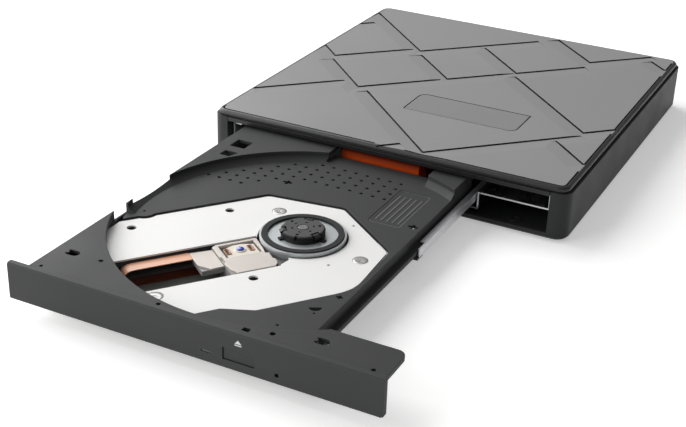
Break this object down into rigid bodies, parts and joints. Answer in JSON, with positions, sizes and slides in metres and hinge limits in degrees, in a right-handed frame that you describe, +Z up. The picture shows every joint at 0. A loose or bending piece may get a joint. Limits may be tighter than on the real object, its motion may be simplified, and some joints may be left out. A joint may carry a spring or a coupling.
{
  "type": "external dvd drive",
  "caption": "Flat external disc drive with a patterned cover and a sliding tray that holds the spindle hub, the pickup and the eject button.",
  "frame": {"origin": "on the desk, under the centre of the housing", "axes": "+Z up, +Y towards the back of the housing, so the tray closes along +Y; +X to the right"},
  "size_m": [0.1456, 0.2858, 0.0211],
  "materials": {
    "base_plastic": "matte moulded plastic",
    "cover_plastic": "satin lacquered plastic",
    "foot_rubber": "matte",
    "zinc_steel": "zinc plated sheet",
    "screw_steel": "plated",
    "rail_steel": "bright rolled",
    "black_plastic": "matte",
    "board_green": "solder resist",
    "ivory_plastic": "matte",
    "socket_steel": "plated shell",
    "flex_orange": "glossy film",
    "tray_plastic": "fine grained",
    "button_plastic": "fine grained",
    "lamp_plastic": "clear",
    "plate_white": "satin white",
    "rod_steel": "ground",
    "motor_can": "plated can",
    "platter_metal": "turned",
    "ring_rubber": "matte",
    "sled_metal": "cast",
    "pickup_metal": "warm plated sheet",
    "yoke_copper": "plated",
    "lens_plastic": "coated lens"
  },
  "bodies": {
    "housing": {"base_shell": "base_plastic", "top_cover": "cover_plastic", "badge_plate": "cover_plastic", "rubber_feet": "foot_rubber", "cover_screws": "screw_steel", "case_pan": "zinc_steel", "case_lid": "zinc_steel", "lid_screws": "screw_steel", "case_screws": "screw_steel", "rail_guide_left": "base_plastic", "rail_guide_right": "base_plastic", "drive_board": "board_green", "flex_connector": "ivory_plastic", "data_plug": "black_plastic", "bridge_board": "board_green", "data_socket": "black_plastic", "usb_socket": "socket_steel", "latch_post": "screw_steel", "main_flex": "flex_orange"},
    "rail_left": {"rail_left": "rail_steel", "rail_clip_left": "black_plastic"},
    "rail_right": {"rail_right": "rail_steel", "rail_clip_right": "black_plastic"},
    "tray": {"tray_moulding": "tray_plastic", "bezel": "tray_plastic", "light_pipe": "lamp_plastic", "front_board": "board_green", "button_switch": "ivory_plastic", "bottom_plate": "zinc_steel", "bottom_screws": "screw_steel", "mechanism_plate": "plate_white", "plate_screws": "screw_steel", "mechanism_frame": "zinc_steel", "dampers": "foot_rubber", "guide_rods": "rod_steel", "sled_motor": "motor_can", "spindle_base": "zinc_steel", "tray_connector": "ivory_plastic", "solenoid": "motor_can", "latch_pin": "screw_steel", "latch_spring": "screw_steel", "ejector_spring": "screw_steel", "pickup_flex": "flex_orange"},
    "eject_button": {"eject_button": "button_plastic"},
    "turntable": {"turntable": "platter_metal", "friction_ring": "ring_rubber", "hub": "black_plastic", "spindle_shaft": "rod_steel"},
    "claw_1": {"claw_1": "black_plastic"},
    "claw_2": {"claw_2": "black_plastic"},
    "claw_3": {"claw_3": "black_plastic"},
    "sled": {"sled_body": "sled_metal", "pickup_cover": "pickup_metal", "pickup_tongue": "pickup_metal", "yokes": "yoke_copper", "sled_nut": "ivory_plastic"},
    "lens": {"lens_holder": "lens_plastic"},
    "lead_screw": {"lead_screw": "rod_steel"},
    "latch": {"latch_lever": "ivory_plastic"},
    "ejector": {"ejector_plunger": "ivory_plastic"}
  },
  "joints": [
    {"name": "tray_slide", "type": "slide", "parent": "housing", "child": "tray", "axis": [0, 1, 0], "range_m": [0, 0.1304], "deforming": ["main_flex"]},
    {"name": "rail_left_slide", "type": "slide", "parent": "housing", "child": "rail_left", "axis": [0, 1, 0], "range_m": [0, 0.0652]},
    {"name": "rail_right_slide", "type": "slide", "parent": "housing", "child": "rail_right", "axis": [0, 1, 0], "range_m": [0, 0.0652]},
    {"name": "eject_button_press", "type": "slide", "parent": "tray", "child": "eject_button", "axis": [0, 1, 0], "range_m": [0, 0.0006], "stiffness_N_per_m": 800},
    {"name": "spindle_spin", "type": "hinge", "parent": "tray", "child": "turntable", "pos_m": [0.0022, -0.14025, 0.0138], "axis": [0, 0, 1], "continuous": true},
    {"name": "claw_1_press", "type": "slide", "parent": "turntable", "child": "claw_1", "axis": [0.1564, -0.9877, 0], "range_m": [0, 0.0005], "stiffness_N_per_m": 500},
    {"name": "claw_2_press", "type": "slide", "parent": "turntable", "child": "claw_2", "axis": [0.7771, 0.6293, 0], "range_m": [0, 0.0005], "stiffness_N_per_m": 500},
    {"name": "claw_3_press", "type": "slide", "parent": "turntable", "child": "claw_3", "axis": [-0.9336, 0.3584, 0], "range_m": [0, 0.0005], "stiffness_N_per_m": 500},
    {"name": "sled_travel", "type": "slide", "parent": "tray", "child": "sled", "axis": [-0.6157, -0.788, 0], "range_m": [0, 0.033], "deforming": ["pickup_flex"]},
    {"name": "lead_screw_turn", "type": "hinge", "parent": "tray", "child": "lead_screw", "pos_m": [-0.02809, -0.15465, 0.0082], "axis": [0.6157, 0.788, 0], "range_deg": [0, 3961]},
    {"name": "lens_focus", "type": "slide", "parent": "sled", "child": "lens", "axis": [0, 0, 1], "range_m": [-0.0004, 0.0004], "stiffness_N_per_m": 200},
    {"name": "latch_swing", "type": "hinge", "parent": "tray", "child": "latch", "pos_m": [0.0225, -0.18955, 0.0068], "axis": [0, 0, 1], "range_deg": [0, 12], "stiffness_Nm_per_rad": 0.01},
    {"name": "ejector_push", "type": "slide", "parent": "tray", "child": "ejector", "axis": [0, -1, 0], "range_m": [0, 0.0101], "deforming": ["ejector_spring"]}
  ],
  "couplings": [
    {"joint": "rail_left_slide", "follows": "tray_slide", "ratio": 0.5},
    {"joint": "rail_right_slide", "follows": "tray_slide", "ratio": 0.5},
    {"joint": "ejector_push", "follows": "tray_slide", "ratio": 0.076687},
    {"joint": "lead_screw_turn", "follows": "sled_travel", "rad_per_m": 2094.4}
  ]
}
